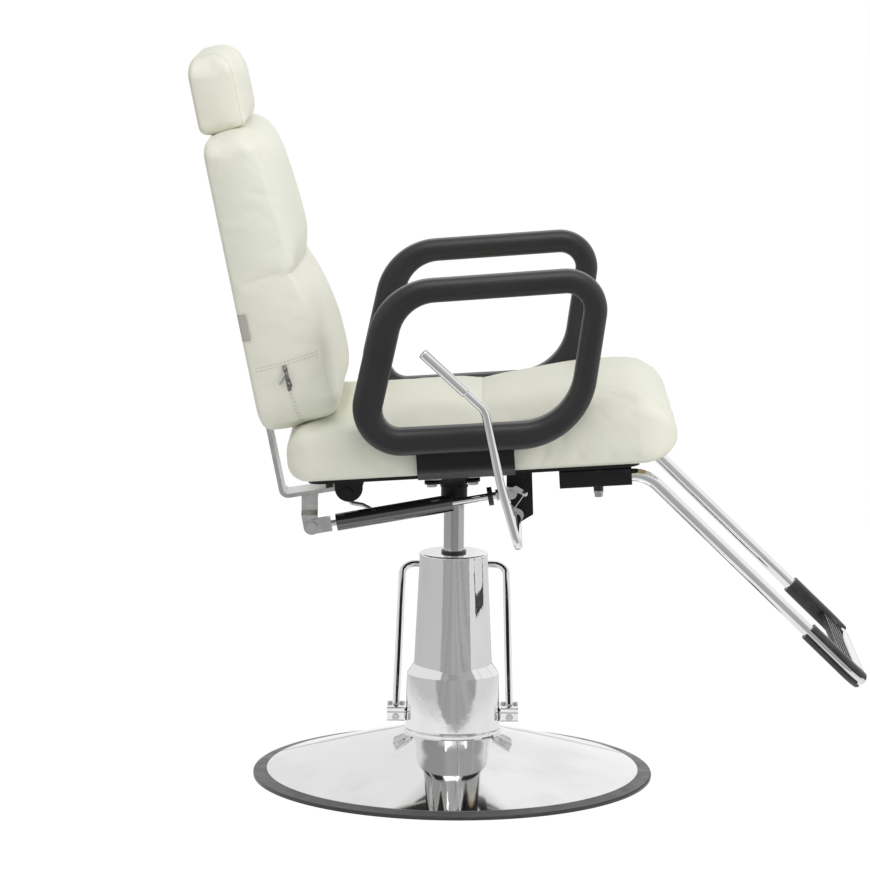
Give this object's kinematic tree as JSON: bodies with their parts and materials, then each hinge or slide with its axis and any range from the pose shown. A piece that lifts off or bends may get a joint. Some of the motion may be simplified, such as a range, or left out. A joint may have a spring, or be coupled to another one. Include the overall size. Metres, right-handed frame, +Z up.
{
  "type": "hairdressing chair",
  "caption": "Reclining salon chair with lift-up headrest, loop armrests, padded seat, sliding footrest, foot-pumped column and round floor base.",
  "frame": {"origin": "on the floor, on the axis of the column", "axes": "+X the way the sitter faces, +Y the sitter's left, +Z up"},
  "size_m": [0.9801, 0.6144, 1.0724],
  "materials": {
    "black_plastic": "satin",
    "armrest_foam": "satin",
    "seat_cover": "satin",
    "chrome": "polished",
    "zinc_steel": "satin",
    "black_steel": "satin",
    "cast_pump": "matte",
    "rubber": "matte",
    "plywood": "matte"
  },
  "bodies": {
    "base": {"base_seal": "rubber", "base_dome": "chrome", "base_plate": "black_steel", "pump_housing": "cast_pump", "pump_flange_bolts": "zinc_steel", "neck_ring": "chrome", "column_cover": "chrome", "cover_cap": "chrome", "ram_wiper": "rubber"},
    "foot_pedal": {"pedal_shaft": "zinc_steel", "pedal_bar": "chrome", "pedal_clamps": "zinc_steel", "pedal_clamp_bolts": "zinc_steel"},
    "ram": {"ram": "chrome"},
    "seat_frame": {"mount_plate": "black_steel", "plate_spacers": "zinc_steel", "plate_bolts": "zinc_steel", "swivel_socket": "black_steel", "armrest_left": "armrest_foam", "armrest_right": "armrest_foam", "armrest_bracket_left": "black_steel", "armrest_bracket_right": "black_steel", "hinge_bracket": "black_steel", "hinge_pin": "black_steel", "back_stop": "rubber", "seat_pan": "black_steel", "seat_board": "plywood", "seat_cushion": "seat_cover", "release_bracket": "black_steel", "strut_front_pin": "zinc_steel", "footrest_socket_left": "black_steel", "footrest_socket_right": "black_steel", "socket_lock_screws": "black_steel", "seat_frame_bolts": "zinc_steel"},
    "back_frame": {"back_bar": "zinc_steel", "back_bar_bolts": "zinc_steel", "back_board": "plywood", "back_cushion": "seat_cover", "headrest_sleeve": "black_steel", "hinge_barrel": "zinc_steel", "strut_lug": "zinc_steel", "strut_rear_pin": "zinc_steel"},
    "headrest": {"headrest_stem": "black_steel", "headrest_board": "plywood", "headrest_bolts": "zinc_steel", "headrest_cushion": "seat_cover"},
    "strut_cylinder": {"strut_clevis": "zinc_steel", "strut_tube": "black_steel", "strut_gland": "black_plastic"},
    "strut_rod": {"strut_rod": "chrome", "strut_bump_disc": "rubber", "release_head": "zinc_steel"},
    "trip_arm": {"trip_arm": "zinc_steel", "release_wire": "zinc_steel"},
    "release_lever": {"lever_rod": "chrome", "lever_grip": "chrome", "shaft_collars": "zinc_steel", "lever_crank": "zinc_steel"},
    "footrest": {"footrest_tube": "chrome", "footrest_pad": "rubber"}
  },
  "joints": [
    {"name": "lift", "type": "slide", "parent": "base", "child": "ram", "axis": [0, 0, 1], "range_m": [-0.06, 0.075]},
    {"name": "swivel", "type": "hinge", "parent": "ram", "child": "seat_frame", "pos_m": [0, 0, 0.43], "axis": [0, 0, 1], "continuous": true},
    {"name": "foot_pedal", "type": "hinge", "parent": "base", "child": "foot_pedal", "pos_m": [0, 0, 0.09], "axis": [-1, 0, 0], "range_deg": [0, 32], "stiffness_Nm_per_rad": 3, "springref_deg": -28.65},
    {"name": "back_recline", "type": "hinge", "parent": "seat_frame", "child": "back_frame", "pos_m": [-0.157, 0, 0.4258], "axis": [0, -1, 0], "range_deg": [0, 27]},
    {"name": "headrest_slide", "type": "slide", "parent": "back_frame", "child": "headrest", "axis": [-0.2028, 0, 0.9792], "range_m": [0, 0.1]},
    {"name": "release_lever", "type": "hinge", "parent": "seat_frame", "child": "release_lever", "pos_m": [0.092, 0, 0.3965], "axis": [0, -1, 0], "range_deg": [0, 16], "stiffness_Nm_per_rad": 3, "springref_deg": -20.05},
    {"name": "strut_swing", "type": "hinge", "parent": "seat_frame", "child": "strut_rod", "pos_m": [0.083, -0.044, 0.4296], "axis": [0, -1, 0], "range_deg": [0, 4.75]},
    {"name": "strut_slide", "type": "slide", "parent": "strut_rod", "child": "strut_cylinder", "axis": [0.984, 0, 0.1781], "range_m": [0, 0.0235]},
    {"name": "trip_arm", "type": "hinge", "parent": "strut_rod", "child": "trip_arm", "pos_m": [0.09, -0.05, 0.437], "axis": [0, 1, 0], "range_deg": [0, 10]},
    {"name": "footrest_slide", "type": "slide", "parent": "seat_frame", "child": "footrest", "axis": [0.9979, 0, 0.0645], "range_m": [0, 0.05]}
  ],
  "couplings": [
    {"joint": "strut_swing", "follows": "back_recline", "ratio": 0.174},
    {"joint": "strut_slide", "follows": "back_recline", "m_per_rad": 0.0492},
    {"joint": "trip_arm", "follows": "release_lever", "ratio": 0.62}
  ]
}
